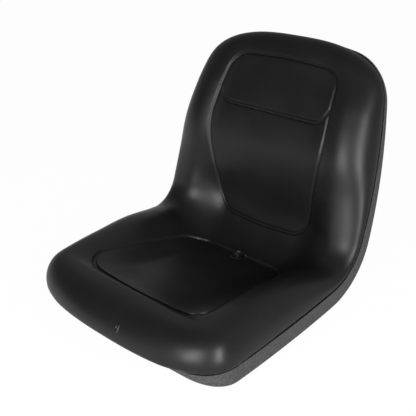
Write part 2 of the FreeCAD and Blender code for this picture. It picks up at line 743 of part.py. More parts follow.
def groove(corners, closed=True):
    """Groove pressed into the cushion along a path."""
    path = rounded_path(corners, closed)
    spots = path.discretize(Number=round(path.Length / run_step))
    if closed:
        spots.pop()
    middles = [place(spot.y, spot.x, top_height(spot.y, spot.x) + size("groove_lift")) for spot in spots]
    last_index = len(middles) - 1
    rings = []
    for index, middle in enumerate(middles):
        before = index - 1 if closed else max(index - 1, 0)
        after = min(index + 1, last_index)
        if closed and index == last_index:
            after = 0
        way = middles[after] - middles[before]
        up = normal_at(spots[index].y)
        aside = way.cross(up).normalize()
        up = aside.cross(way).normalize()
        turns = [math.pi / 3 * corner for corner in range(6)]
        reach = size("groove_radius")
        ring = [middle + (aside * math.cos(turn) + up * math.sin(turn)) * reach for turn in turns]
        rings.append(Part.makePolygon(ring + ring[:1]))
    return Part.makeLoft(rings, True, True, closed)


def seat_panel():
    corner = size("seat_panel_corner")
    front, rear = size("seat_panel_front_width") / 2, size("seat_panel_rear_width") / 2
    front_along = -size("seat_panel_front")
    return [
        (-front, front_along, corner),
        (0, front_along - size("seat_panel_bow"), size("panel_bend")),
        (front, front_along, corner),
        (rear, size("seat_panel_rear"), corner),
        (-rear, size("seat_panel_rear"), corner),
    ]


foot_along = bend_length - size("back_panel_foot")
waist_along = bend_length + size("back_panel_waist")
panel_top = bend_length + size("back_panel_head")
foot_half, waist_half, top_half = [size(f"back_panel_{spot}_width") / 2 for spot in ("foot", "waist", "head")]


def back_panel():
    corner, side = size("back_panel_corner"), size("back_panel_side")
    bow, bend_out = size("back_panel_bow"), size("panel_bend")
    return [
        (-foot_half, foot_along, corner), (0, foot_along - bow, bend_out), (foot_half, foot_along, corner),
        (waist_half, waist_along, side),
        (top_half, panel_top, corner), (0, panel_top + bow, bend_out), (-top_half, panel_top, corner),
        (-waist_half, waist_along, side),
    ]


def divide():
    """Line across the back panel, with its ends turned up to the sides."""
    low = bend_length + size("divide_height")
    high = low + size("divide_rise")
    share = (high - waist_along) / (panel_top - waist_along)
    side = waist_half + (top_half - waist_half) * share
    corner = side - size("divide_inset")
    bend_up = size("divide_corner")
    return [(-side, high, 0), (-corner, low, bend_up), (corner, low, bend_up), (side, high, 0)]


def section_places():
    """Close together where the cushion rolls over at its ends, even between."""
    roll = [size("nose_roll") * (1 - math.cos(math.pi / 2 * step / 9)) for step in (1, 2, 3, 4, 5, 6, 7, 8)]
    head = [size("head_roll") * (1 - math.cos(math.pi / 2 * step / 8)) for step in (7, 6, 5, 4, 3, 2)]
    first, last = nose_along + size("nose_roll"), head_along - size("head_roll")
    count = round((last - first) / run_step)
    main = [first + (last - first) * step / count for step in range(count + 1)]
    return [nose_along + step for step in roll] + main + [head_along - step for step in head]


def surface_along(y):
    """Where the cushion's middle line lies over a place on the floor."""
    low, high = 0, bend_length
    while high - low > 0.01:
        middle = (low + high) / 2
        if place(middle, 0, top_height(middle, 0)).y < y:
            low = middle
        else:
            high = middle
    return low


def stud_places():
    """Six places on the underside of the ledge; their Z points into the cushion."""
    across = size("seat_width") / 2 - size("stud_inset")
    places = []
    for side in (-across, across):
        for ledge, run in ((seat_ledge, -size("stud_front")), (seat_ledge, -size("stud_rear")),
                           (back_ledge, size("stud_back"))):
            places.append(ledge.multiply(Placement(Vector(side, run, 0), Rotation())))
    return places


def make_cushion():
    foam = Part.makeLoft([section(along) for along in section_places()], True, True, False)
    seat_on_plate = size("sheet_steel") + size("stud_plate_height")
    bosses = []
    for spot in stud_places():
        depth = -rim_height(spot.Base)[1]
        side = size("stud_boss")
        boss = Part.makeBox(side, side, depth + size("stud_boss_height") - seat_on_plate)
        boss.Placement = spot.multiply(Placement(Vector(-side / 2, -side / 2, seat_on_plate), Rotation()))
        bosses.append(boss)
    along = surface_along(size("drain_y"))
    surface = place(along, 0, top_height(along, 0)).z
    hole = size("drain_bore") / 2 + size("drain_wall") + size("drain_clear")
    sink, mouth = size("drain_mouth_depth"), size("drain_mouth") / 2
    drain = Part.makeCylinder(hole, surface, Vector(0, size("drain_y"), 0))
    dish_foot = Vector(0, size("drain_y"), surface - sink)
    dish = Part.makeCone(hole, 2 * mouth - hole, 2 * sink, dish_foot)
    grooves = [groove(seat_panel()), groove(back_panel()), groove(divide(), closed=False)]
    foam = foam.fuse(bosses).cut(grooves + [drain, dish])
    cushion = doc.addObject("Part::Feature", "cushion")
    cushion.Shape = foam
    cushion.Placement = Placement()
    return cushion


# Fixings and drain


def round_bar(name, diameter, height, foot="0"):
    bar = doc.addObject("Part::Cylinder", name)
    bar.setExpression("Radius", f"({diameter}) / 2")
    bar.setExpression("Height", height)
    bar.setExpression("Placement.Base.z", foot)
    return bar


def joined(name, kind, base, tool):
    result = doc.addObject(kind, name)
    result.Base = base
    result.Tool = tool
    return result


def copies(name, piece, places):
    """A group of equal pieces, one at each place."""
    links = []
    for number, spot in enumerate(places, start=1):
        link = doc.addObject("App::Link", f"{piece.Name}_{number}")
        link.LinkedObject = piece
        link.LinkTransform = True
        link.Placement = spot
        links.append(link)
    group = doc.addObject("Part::Compound", name)
    group.Links = links
    return group


def square_block(name, side, height, foot="0"):
    block = doc.addObject("Part::Box", name)
    for edge in ("Length", "Width"):
        block.setExpression(edge, side)
    block.setExpression("Height", height)
    for axis in "xy":
        block.setExpression(f"Placement.Base.{axis}", f"-{side} / 2")
    block.setExpression("Placement.Base.z", foot)
    return block


def make_weld_nuts():
    block = square_block("weld_nut_block", "Dims.weld_nut_side", "Dims.weld_nut_height")
    bore = round_bar("weld_nut_thread", "Dims.weld_nut_bore", "Dims.weld_nut_height")
    nut = joined("weld_nut", "Part::Cut", block, bore)
    half_x, half_y = size("bolt_x") / 2, size("bolt_y") / 2
    spots = [Vector(x, y, size("sheet_steel")) for x in (-half_x, half_x) for y in (-half_y, half_y)]
    return copies("weld_nuts", nut, [Placement(spot, Rotation()) for spot in spots])


def make_drain_sleeve():
    tube = round_bar("sleeve_tube", "Dims.drain_bore + 2 * Dims.drain_wall", "Dims.drain_length")
    foot = round_bar("sleeve_foot", "Dims.drain_flange", "Dims.drain_flange_height", "Dims.sheet_steel")
    solid = joined("sleeve_solid", "Part::Fuse", tube, foot)
    bore = round_bar("sleeve_bore", "Dims.drain_bore", "Dims.drain_length")
    sleeve = joined("drain_sleeve", "Part::Cut", solid, bore)
    sleeve.setExpression("Placement.Base.y", "Dims.drain_y")
    return sleeve


def make_cushion_studs():
    plate = square_block("stud_plate", "Dims.stud_plate", "Dims.stud_plate_height", "Dims.sheet_steel")
    length = "Dims.stud_length + Dims.sheet_steel + Dims.stud_plate_height"
    shank = round_bar("stud_shank", "Dims.stud_thread", length, "-Dims.stud_length")
    return copies("cushion_studs", joined("stud", "Part::Fuse", plate, shank), stud_places())


def make_stud_nuts():
    hexagon = doc.addObject("Part::Prism", "nut_hexagon")
    hexagon.Polygon = 6
    hexagon.setExpression("Circumradius", "Dims.nut_across / sqrt(3)")
    hexagon.setExpression("Height", "Dims.nut_height")
    hexagon.setExpression("Placement.Base.z", "-Dims.nut_height")
    bore = round_bar("nut_bore", "Dims.stud_thread + 2 * Dims.nut_clear", "Dims.nut_height", "-Dims.nut_height")
    return copies("stud_nuts", joined("stud_nut", "Part::Cut", hexagon, bore), stud_places())


pieces = [
    make_cushion(),
    make_pan(),
    make_drain_sleeve(),
    make_weld_nuts(),
    make_cushion_studs(),
    make_stud_nuts(),
]
doc.recompute()

for item in doc.Objects:
    if "Invalid" in item.State or "Error" in item.State:
        raise RuntimeError(f"{item.Label} did not build: {item.State}")
for piece in pieces:
    if piece.Shape.isNull() or not piece.Shape.isValid():
        raise RuntimeError(f"{piece.Label} has no valid shape")

os.makedirs("parts", exist_ok=True)
for piece in pieces:
    piece.Shape.exportStep(f"parts/{piece.Label}.step")
    print(piece.Label, len(piece.Shape.Solids), "solids", round(piece.Shape.Volume / 1000, 1), "cm3")
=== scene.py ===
import math
import bmesh
import bpy
import numpy as np
from mathutils import Matrix, Vector
from mathutils.kdtree import KDTree


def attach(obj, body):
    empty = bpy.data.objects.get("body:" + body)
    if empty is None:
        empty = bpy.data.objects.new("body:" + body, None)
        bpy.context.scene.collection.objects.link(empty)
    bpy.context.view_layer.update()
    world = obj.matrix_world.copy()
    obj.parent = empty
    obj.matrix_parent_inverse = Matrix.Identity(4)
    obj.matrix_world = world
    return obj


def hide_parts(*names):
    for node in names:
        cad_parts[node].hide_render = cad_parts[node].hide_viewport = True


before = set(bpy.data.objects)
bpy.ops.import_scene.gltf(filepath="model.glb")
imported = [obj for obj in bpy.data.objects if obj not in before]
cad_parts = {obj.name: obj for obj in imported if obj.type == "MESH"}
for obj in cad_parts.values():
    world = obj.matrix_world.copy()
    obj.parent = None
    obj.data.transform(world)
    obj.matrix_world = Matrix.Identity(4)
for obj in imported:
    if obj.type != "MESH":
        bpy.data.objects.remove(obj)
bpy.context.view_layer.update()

# Ride on mower seat. Lengths are in mm until a mesh is made, which is in metres.
# Along follows the rim of the pan, below zero on the seat, then round the bend and up the back.
# Across is the sitter's left, height is square to the rim, into the cushion.

sideLine = {
    "rise": math.radians(7),  # rim climbs to the rear
    "recline": math.radians(18),  # back leans from upright
    "bendRadius": 97.0,
    "bendStart": (116.0, 77.0),  # y and z
    "seatRun": 326.0,  # rim, from the bend to the front
    "backRun": 346.0,  # rim, from the bend to the top
    "halfWidth": 240.0,
    "seatNarrowing": (13.0, 258.0),  # each side, over this run
    "backNarrowing": (24.0, 241.0),
}
rise, recline, bendRadius = sideLine["rise"], sideLine["recline"], sideLine["bendRadius"]
turn = math.pi / 2 - rise - recline
bendRun = bendRadius * turn
rimFront, rimTop = -sideLine["seatRun"], bendRun + sideLine["backRun"]
bendCentre = (
    sideLine["bendStart"][0] - math.sin(rise) * bendRadius,
    sideLine["bendStart"][1] + math.cos(rise) * bendRadius,
)


def ontoSeat(along, across, height):
    along, across, height = np.broadcast_arrays(*[np.asarray(v, float) for v in (along, across, height)])
    slope = rise + np.clip(along / bendRadius, 0, turn)
    beyond = np.minimum(along, 0) + np.maximum(along - bendRun, 0)
    y = bendCentre[0] + np.sin(slope) * (bendRadius - height) + np.cos(slope) * beyond
    z = bendCentre[1] - np.cos(slope) * (bendRadius - height) + np.sin(slope) * beyond
    return np.stack([across, y, z], axis=-1) / 1000


def smooth(share):
    share = np.clip(share, 0, 1)
    return share * share * (3 - 2 * share)


def bodyHalf(along):  # half the rim's width, corners left out
    half = sideLine["halfWidth"]
    for reach, (narrowing, run) in (
        (np.maximum(-along, 0), sideLine["seatNarrowing"]),
        (np.maximum(along - bendRun, 0), sideLine["backNarrowing"]),
    ):
        side = (run * run + narrowing * narrowing) / (2 * narrowing)
        half = half - (side - np.sqrt(side * side - reach * reach))
    return half


def resample(points, spacing):  # even steps along an open line
    steps = np.hypot(*np.diff(points, axis=0).T)
    run = np.concatenate([[0], np.cumsum(steps)])
    spots = np.linspace(0, run[-1], max(2, round(run[-1] / spacing) + 1))
    return np.stack([np.interp(spots, run, points[:, axis]) for axis in (0, 1)], axis=1)


def mirrored(half):  # closed outline from its half on the sitter's left, nose to head
    return np.concatenate([half, half[-2:0:-1] * (1, -1)])


def spokes(outline, spine):  # from each point of an outline to the spine: way and length
    foot = np.stack([np.clip(outline[:, 0], *spine), np.zeros(len(outline))], axis=1)
    way = foot - outline
    length = np.hypot(*way.T)
    return way / length[:, None], length


def skinFaces(count, rowCount):  # quads between rows of points round the same outline
    faces = []
    for row in range(rowCount - 1):
        for spot in range(count):
            after = (spot + 1) % count
            a, b = row * count, (row + 1) * count
            faces.append((a + spot, a + after, b + after, b + spot))
    return faces


def newObject(name, mesh):
    thing = bpy.data.objects.new(name, mesh)
    bpy.context.scene.collection.objects.link(thing)
    return thing


def settle(thing):  # modifiers into the mesh
    graph = bpy.context.evaluated_depsgraph_get()
    mesh = bpy.data.meshes.new_from_object(thing.evaluated_get(graph))
    thing.modifiers.clear()
    old, thing.data = thing.data, mesh
    mesh.name = thing.name
    bpy.data.meshes.remove(old)


def cutRound(thing, holes, creaseAngle):  # bores through a piece: place, axis, radius and half length in mm
    shape = bmesh.new()
    for place, axis, radius, reach in holes:
        turned = Vector(axis).to_track_quat("Z", "Y").to_matrix().to_4x4()
        bmesh.ops.create_cone(shape, cap_ends=True, segments=40, radius1=radius / 1000, radius2=radius / 1000,
                              depth=reach / 500, matrix=Matrix.Translation(place) @ turned)
    mesh = bpy.data.meshes.new("drill")
    shape.to_mesh(mesh)
    shape.free()
    drill = newObject("drill", mesh)
    cut = thing.modifiers.new("drill", "BOOLEAN")
    cut.operation, cut.solver, cut.object = "DIFFERENCE", "EXACT", drill
    settle(thing)
    bpy.data.objects.remove(drill)
    bpy.data.meshes.remove(mesh)
    thing.data.polygons.foreach_set("use_smooth", [True] * len(thing.data.polygons))
    thing.data.set_sharp_from_angle(angle=math.radians(creaseAngle))


def addNode(tree, kind, inputs=None, **settings):  # a list of sockets goes to one input
    node = tree.nodes.new(kind)
    for key, value in settings.items():
        setattr(node, key, value)
    for key, value in (inputs or {}).items():
        sockets = value if isinstance(value, list) and isinstance(value[0], bpy.types.NodeSocket) else [value]
        for socket in sockets:
            if isinstance(socket, bpy.types.NodeSocket):
                tree.links.new(socket, node.inputs[key])
            else:
                node.inputs[key].default_value = socket
    return node


def maths(tree, operation, first, second):
    return addNode(tree, "ShaderNodeMath", {0: first, 1: second}, operation=operation).outputs[0]


def noise(tree, place, sizeMm, detail, roughness=0.5):
    return addNode(tree, "ShaderNodeTexNoise", {
        "Vector": place, "Scale": 1000 / sizeMm, "Detail": detail, "Roughness": roughness}).outputs["Fac"]


def twoTone(tree, share, first, second):
    return addNode(tree, "ShaderNodeMix", {0: share, 6: linear(first), 7: linear(second)},
                   data_type="RGBA").outputs[2]


def spanned(tree, value, low, high, source=(0.0, 1.0)):
    return addNode(tree, "ShaderNodeMapRange", {
        "Value": value, "From Min": source[0], "From Max": source[1],
        "To Min": low, "To Max": high}).outputs[0]


def linear(code):  # sRGB hex to linear
    parts = [int(code[i:i + 2], 16) / 255 for i in (1, 3, 5)]
    return [p / 12.92 if p <= 0.04045 else ((p + 0.055) / 1.055) ** 2.4 for p in parts] + [1.0]


def newMaterial(name):
    material = bpy.data.materials.new(name)
    material.use_nodes = True
    tree = material.node_tree
    tree.nodes.clear()
    shader = addNode(tree, "ShaderNodeBsdfPrincipled")
    addNode(tree, "ShaderNodeOutputMaterial", {"Surface": shader.outputs["BSDF"]})
    place = addNode(tree, "ShaderNodeTexCoord").outputs["Object"]
    return material, tree, shader, place


# Materials

def mouldedVinyl():  # PVC skin from a smooth mould: deep black, satin, long soft highlights
    look = {
        "black": "#0e0e0f", "worn": "#141414", "cloudMm": 60.0, "cloudSpan": (0.3, 0.7),
        "roughness": (0.37, 0.44), "specular": 0.22, "ior": 1.5,
        "grainMm": 2.6, "poreMm": 1.3, "grainStrength": 0.1, "grainDepth": 0.0002,
    }
    material, tree, shader, place = newMaterial("moulded PVC vinyl skin")
    cloud = noise(tree, place, look["cloudMm"], 4)
    rough = spanned(tree, cloud, *look["roughness"], source=look["cloudSpan"])
    # mould grain is finer than a pixel, so it is drawn at two to three times its size
    grain = addNode(tree, "ShaderNodeTexVoronoi", {"Vector": place, "Scale": 1000 / look["grainMm"]})
    relief = maths(tree, "ADD", grain.outputs["Distance"], noise(tree, place, look["poreMm"], 2))
    bump = addNode(tree, "ShaderNodeBump", {
        "Height": relief, "Strength": look["grainStrength"], "Distance": look["grainDepth"]})
    tree.links.new(twoTone(tree, cloud, look["black"], look["worn"]), shader.inputs["Base Color"])
    tree.links.new(rough, shader.inputs["Roughness"])
    tree.links.new(bump.outputs["Normal"], shader.inputs["Normal"])
    shader.inputs["IOR"].default_value = look["ior"]
    shader.inputs["Specular IOR Level"].default_value = look["specular"]
    return material


def powderCoat():  # textured black powder on steel: charcoal, scattered light, no shine, fine pimples
    look = {
        "dark": "#1e1e1f", "light": "#3b3b3c", "roughness": 0.66, "specular": 0.4,
        "pimpleMm": 2.4, "pimpleSpan": (0.36, 0.64), "pimpleStrength": 0.5, "pimpleDepth": 0.0008,
    }
    material, tree, shader, place = newMaterial("textured powder coat")
    pimple = noise(tree, place, look["pimpleMm"], 2, roughness=0.6)
    fleck = spanned(tree, pimple, 0.0, 1.0, source=look["pimpleSpan"])
    bump = addNode(tree, "ShaderNodeBump", {
        "Height": pimple, "Strength": look["pimpleStrength"], "Distance": look["pimpleDepth"]})
    tree.links.new(twoTone(tree, fleck, look["dark"], look["light"]), shader.inputs["Base Color"])
    tree.links.new(bump.outputs["Normal"], shader.inputs["Normal"])
    shader.inputs["Roughness"].default_value = look["roughness"]
    shader.inputs["Specular IOR Level"].default_value = look["specular"]
    return material


def zincPlate():  # bright zinc on steel: pale grey metal, slightly cloudy
    look = {"zinc": "#b9bbba", "dull": "#9b9c99", "cloudMm": 3.0, "roughness": (0.28, 0.5)}
    material, tree, shader, place = newMaterial("zinc plated steel")
    cloud = noise(tree, place, look["cloudMm"], 4)
    tree.links.new(twoTone(tree, cloud, look["zinc"], look["dull"]), shader.inputs["Base Color"])
    tree.links.new(spanned(tree, cloud, *look["roughness"]), shader.inputs["Roughness"])
    shader.inputs["Metallic"].default_value = 1.0
    return material


def sleevePlastic():  # moulded polyethylene: black, waxy, a little scuffed
    look = {
        "black": "#0a0a0a", "scuff": "#121212", "scuffMm": 5.0, "roughness": (0.55, 0.75), "specular": 0.2,
    }
    material, tree, shader, place = newMaterial("moulded polyethylene")
    scuff = noise(tree, place, look["scuffMm"], 5)
    tree.links.new(twoTone(tree, scuff, look["black"], look["scuff"]), shader.inputs["Base Color"])
    tree.links.new(spanned(tree, scuff, *look["roughness"]), shader.inputs["Roughness"])
    shader.inputs["Specular IOR Level"].default_value = look["specular"]
    return material


vinyl, coat, zinc, plastic = mouldedVinyl(), powderCoat(), zincPlate(), sleevePlastic()
print("materials ready")


# Pan

pan = {
    "frontBow": 1500.0, "frontCorner": 68.0, "topBow": 800.0, "topCorner": 105.0,
    "rimDepth": 33.0, "rimDepthBend": 26.0, "rimDepthTop": 6.0,
    "rimDepthFront": 4.0, "frontSweep": 101.0, "rimFoot": 4.0,
    "steel": 1.6, "outlineStep": 4.4, "creaseAngle": 32,
    "wellFront": -251.2, "wellTop": bendRun + 212.0, "wellHalf": 160.0, "wellCorner": 14.0,
    "wellDepthBend": 54.0, "wellDepthTop": 28.0, "wellBend": 95.0,
    "wellShoulder": 3.0, "wellFoot": 4.0,
    "floorFront": -400.0, "backBeyond": 60.0,  # ends of the line that the well follows
    "spine": (-150.0, 300.0),
    "bolts": (127.0, 101.6), "boltHole": 4.5,  # from the middle, and radius
    "floorDrill": 10.0, "ledgeDrill": 6.0,  # half lengths of the drills
    "drain": (128.0, 7.5),  # y and radius
    "studs": (-236.0, -48.0, bendRun + 190.0), "studAcross": 200.0, "studHole": 3.3,
    "rows": {"rim": 6, "rimFoot": 7, "ledge": 12, "shoulder": 6, "wall": 4, "wellFoot": 8, "floor": 22},
}
mergeWithin = 0.00002  # metres


def rimEnd(length, narrowing, bow, corner):  # from the bend's edge round a corner to the middle of an end
    half = sideLine["halfWidth"]
    inset, run = narrowing
    side = (run * run + inset * inset) / (2 * inset)
    sideMiddle, bowMiddle = np.array([0, half - side]), np.array([length - bow, 0])
    between = bowMiddle - sideMiddle
    gap = np.hypot(*between)
    share = ((side - corner) ** 2 - (bow - corner) ** 2 + gap * gap) / (2 * gap)
    aside = math.sqrt((side - corner) ** 2 - share * share)
    way = between / gap
    middle = sideMiddle + way * share + np.array([way[1], -way[0]]) * -aside
    if middle[1] < 0 or middle[0] < 0:
        middle = sideMiddle + way * share + np.array([way[1], -way[0]]) * aside

    def sweep(centre, radius, first, last):
        angle = np.linspace(first, last, 200)
        return centre + radius * np.stack([np.sin(angle), np.cos(angle)], axis=1)

    toCorner = math.atan2(*(middle - sideMiddle))
    toBow = math.atan2(*(middle - bowMiddle))
    return np.concatenate([
        sweep(sideMiddle, side, 0, toCorner),
        sweep(middle, corner, toCorner, toBow)[1:],
        sweep(bowMiddle, bow, toBow, math.pi / 2)[1:],
    ])


def rimHalf():  # nose to head
    front = rimEnd(-rimFront, sideLine["seatNarrowing"], pan["frontBow"], pan["frontCorner"])
    back = rimEnd(sideLine["backRun"], sideLine["backNarrowing"], pan["topBow"], pan["topCorner"])
    front[:, 0] *= -1
    back[:, 0] += bendRun
    return np.concatenate([front[::-1], back])


def ledgeDepth(along):  # shallower up the back, and swept up at the front
    deep, sweep = pan["rimDepth"], pan["frontSweep"]
    upBend, upBack = np.clip(along / bendRun, 0, 1), np.clip((along - bendRun) / sideLine["backRun"], 0, 1)
    depth = deep + (pan["rimDepthBend"] - deep) * upBend + (pan["rimDepthTop"] - pan["rimDepthBend"]) * upBack
    swept = rimFront + math.sqrt(sweep ** 2 - (sweep - deep + pan["rimDepthFront"]) ** 2)
    ahead = np.clip(swept - along, 0, sweep)
    return depth - (sweep - np.sqrt(sweep ** 2 - ahead ** 2))


def wellDepths():  # how far the flat floor and the leaning back of the well lie below the rim
    low = ontoSeat(bendRun, 0, -pan["wellDepthBend"])[1:] * 1000
    high = ontoSeat(pan["wellTop"], 0, -pan["wellDepthTop"])[1:] * 1000
    up = (high - low) / np.hypot(*(high - low))
    corner = low - up * (low[1] / up[1])
    lean = math.atan2(up[1], up[0])
    reach = pan["wellBend"] * math.tan(lean / 2)
    angle = np.linspace(0, lean, 60)
    arc = np.stack([corner[0] - reach + pan["wellBend"] * np.sin(angle),
                    pan["wellBend"] * (1 - np.cos(angle))], axis=1)
    floor = np.concatenate([[[pan["floorFront"], 0.0]], arc, [high + up * pan["backBeyond"]]])
    places = np.linspace(rimFront, rimTop, 500)
    depths = []
    for along in places:
        rim = ontoSeat(along, 0, 0)[1:] * 1000
        down = (ontoSeat(along, 0, -1)[1:] * 1000 - rim)
        side = (floor - rim) @ np.array([down[1], -down[0]])
        deep = (floor - rim) @ down
        if side[0] > side[-1]:
            side, deep = side[::-1], deep[::-1]
        depths.append(np.interp(0, side, deep))
    return places, np.array(depths)


def roundedBox(points):  # signed distance to the well's outline
    middle = np.array([(pan["wellFront"] + pan["wellTop"]) / 2, 0])
    half = np.array([(pan["wellTop"] - pan["wellFront"]) / 2, pan["wellHalf"]])
    out = np.abs(points - middle) - half + pan["wellCorner"]
    return np.hypot(*np.maximum(out, 0).T) + np.minimum(out.max(axis=1), 0) - pan["wellCorner"]


def studPlaces():  # on the underside of the ledge, with the way into the cushion
    places = []
    for across in (-pan["studAcross"], pan["studAcross"]):
        for along in pan["studs"]:
            line = np.array([along - 2, along, along + 2])
            spots = ontoSeat(line, across, -ledgeDepth(line))
            run = Vector(spots[2] - spots[0]).normalized()
            places.append((Vector(spots[1]), Vector((1, 0, 0)).cross(run)))
    return places


def makePan():
    outline = mirrored(resample(rimHalf(), pan["outlineStep"]))
    way, length = spokes(outline, pan["spine"])
    near, far = np.zeros(len(outline)), length.copy()
    for _ in range(30):  # where each spoke enters the well
        guess = (near + far) / 2
        outside = roundedBox(outline + way * guess[:, None]) > 0
        near, far = np.where(outside, guess, near), np.where(outside, far, guess)
    wellEdge = far
    places, depths = wellDepths()

    def row(distance, sunk):
        spot = outline + way * distance[:, None]
        ledge = ledgeDepth(spot[:, 0])
        well = np.interp(spot[:, 0], places, depths)
        return ontoSeat(spot[:, 0], spot[:, 1], -sunk(ledge, well))

    zero = np.zeros(len(outline))
    foot = np.minimum(pan["rimFoot"], 0.5 * ledgeDepth(outline[:, 0]))
    shoulder, wellFoot, count = pan["wellShoulder"], pan["wellFoot"], pan["rows"]
    rows = [row(zero, lambda ledge, well, s=s: (ledge - foot) * s) for s in np.linspace(0, 1, count["rim"])]
    for a in np.linspace(0, math.pi / 2, count["rimFoot"])[1:]:
        rows.append(row(foot * (1 - math.cos(a)), lambda ledge, well, a=a: ledge - foot * (1 - math.sin(a))))
    for s in np.linspace(0, 1, count["ledge"])[1:]:
        rows.append(row(foot + (wellEdge - shoulder - foot) * s, lambda ledge, well: ledge))
    for a in np.linspace(0, math.pi / 2, count["shoulder"])[1:]:
        rows.append(row(wellEdge - shoulder * (1 - math.sin(a)),
                        lambda ledge, well, a=a: ledge + shoulder * (1 - math.cos(a))))
    for s in np.linspace(0, 1, count["wall"])[1:-1]:
        rows.append(row(wellEdge, lambda ledge, well, s=s:
                        ledge + shoulder + (well - ledge - shoulder - wellFoot) * s))
    for a in np.linspace(0, math.pi / 2, count["wellFoot"]):
        rows.append(row(wellEdge + wellFoot * (1 - math.cos(a)),
                        lambda ledge, well, a=a: well - wellFoot * (1 - math.sin(a))))
    for s in np.linspace(0, 1, count["floor"])[1:]:
        rows.append(row(wellEdge + wellFoot + (length - wellEdge - wellFoot) * s, lambda ledge, well: well))
    mesh = bpy.data.meshes.new("seatPan")
    mesh.from_pydata(np.concatenate(rows).tolist(), [], skinFaces(len(outline), len(rows)))
    shape = bmesh.new()
    shape.from_mesh(mesh)
    bmesh.ops.remove_doubles(shape, verts=shape.verts, dist=mergeWithin)
    bmesh.ops.dissolve_degenerate(shape, edges=shape.edges, dist=mergeWithin)
    shape.to_mesh(mesh)
    shape.free()
    thing = newObject("seatPan", mesh)
    sheet = thing.modifiers.new("sheet", "SOLIDIFY")
    sheet.thickness = pan["steel"] / 1000
    sheet.offset = 1
    sheet.use_even_offset = True
    settle(thing)
    x, y = pan["bolts"]
    holes = [((sx * x / 1000, sy * y / 1000, 0), (0, 0, 1), pan["boltHole"], pan["floorDrill"])
             for sx in (-1, 1) for sy in (-1, 1)]
    holes.append(((0, pan["drain"][0] / 1000, 0), (0, 0, 1), pan["drain"][1], pan["floorDrill"]))
    holes += [(place, axis, pan["studHole"], pan["ledgeDrill"]) for place, axis in studPlaces()]
    cutRound(thing, holes, pan["creaseAngle"])
    return thing


seatPan = makePan()
print("pan pressed:", len(seatPan.data.polygons), "faces")


# Cushion

cushion = {
    "nose": 18.5, "noseHeight": 9.5, "noseDrop": 5.0, "noseCorner": 84.0, "nosePower": 2.6,
    "headCorner": 95.0, "headPower": 2.8,
    "bulge": 7.0, "bulgeFrom": (140.0, 140.0),
    "sideRoll": 46.0, "waistRoll": 92.0, "backRoll": 72.0, "noseRoll": 72.0, "headRoll": 68.0,
    "lip": 4.2, "lipFront": 2.8,  # gap over the rim, and how much more where the foam stands out over it
    "lipRound": (1.5, 1.8),  # width and height of the turned edge
    "stations": (-0.831, -0.78, -0.55, -0.28, 0, 0.5, 1, 1.2, 1.4, 1.64, 1.84),
    "middle": (61, 52, 22, -2, -19, -23, -9, 26, 46, 42, 32),
    "bolster": (62, 61.5, 61.5, 54, 31, 23, 29, 42, 59, 54, 38),
    "bolsterFrom": (0.35, 0.48), "bolsterTo": (0.81, 0.77),  # shares of the half width, seat and back
    "backFrom": 0.4,  # share of the bend where the seat's shares give way to the back's
    "spine": (-150.0, 300.0), "outlineStep": 5.6, "rimStep": 2.0, "soften": 6,
    "rows": {"top": 35, "roll": 20, "tuck": 9, "belly": 24},
    # each pair is where a change begins and the run it takes
    "noseDropSpan": (8.0, 8.0), "lipFrontSpan": 6.0, "edgePower": 0.9,
    "noseRollSpan": (40.0, 110.0), "headRollSpan": (130.0, 110.0), "waistSpan": (50.0, 75.0),
    "backRollFrom": 0.5,
    "intoPan": ((4, 0), (7, 3), (10, 6.5)),  # inward from the tucked edge, and down
    "bellyGap": 12.0, "bellyLift": 5.0,  # foam over the pan floor
    "bellySide": (95.0, 70.0), "bellyFront": (8.0, 54.0), "bellyTop": (20.0, 60.0),
}


def stationPlaces():  # below 0 a share of the seat's run, 0 to 1 of the bend, then of the back
    places = []
    for share in cushion["stations"]:
        if share < 0:
            places.append(share * sideLine["seatRun"])
        elif share <= 1:
            places.append(share * bendRun)
        else:
            places.append(bendRun + (share - 1) * sideLine["backRun"])
    return np.array(places)


def lineHeight(name, along):  # smooth line through the stations
    places, heights = stationPlaces(), np.array(cushion[name], float)
    slopes = np.zeros(len(places))
    slopes[1:-1] = (heights[2:] - heights[:-2]) / (places[2:] - places[:-2])
    left = np.clip(np.searchsorted(places, along) - 1, 0, len(places) - 2)
    span = places[left + 1] - places[left]
    share = np.clip((along - places[left]) / span, 0, 1)
    rising = slopes[left] * span * share * (1 - share) ** 2
    rising = rising + slopes[left + 1] * span * share ** 2 * (share - 1)
    return heights[left] + (heights[left + 1] - heights[left]) * smooth(share) + rising


def crownHeight(along, across):
    upBack = smooth((along - cushion["backFrom"] * bendRun) / bendRun)
    inner, outer = [seat + (back - seat) * upBack
                    for seat, back in (cushion["bolsterFrom"], cushion["bolsterTo"])]
    share = (np.abs(across) / bodyHalf(along) - inner) / (outer - inner)
    middle, bolster = lineHeight("middle", along), lineHeight("bolster", along)
    return middle + (bolster - middle) * smooth(share)


def sideHalf(along):  # foam bulges over the rim beside the nose
    begin, over = cushion["bulgeFrom"]
    return bodyHalf(along) + cushion["bulge"] * smooth((-along - begin) / over)


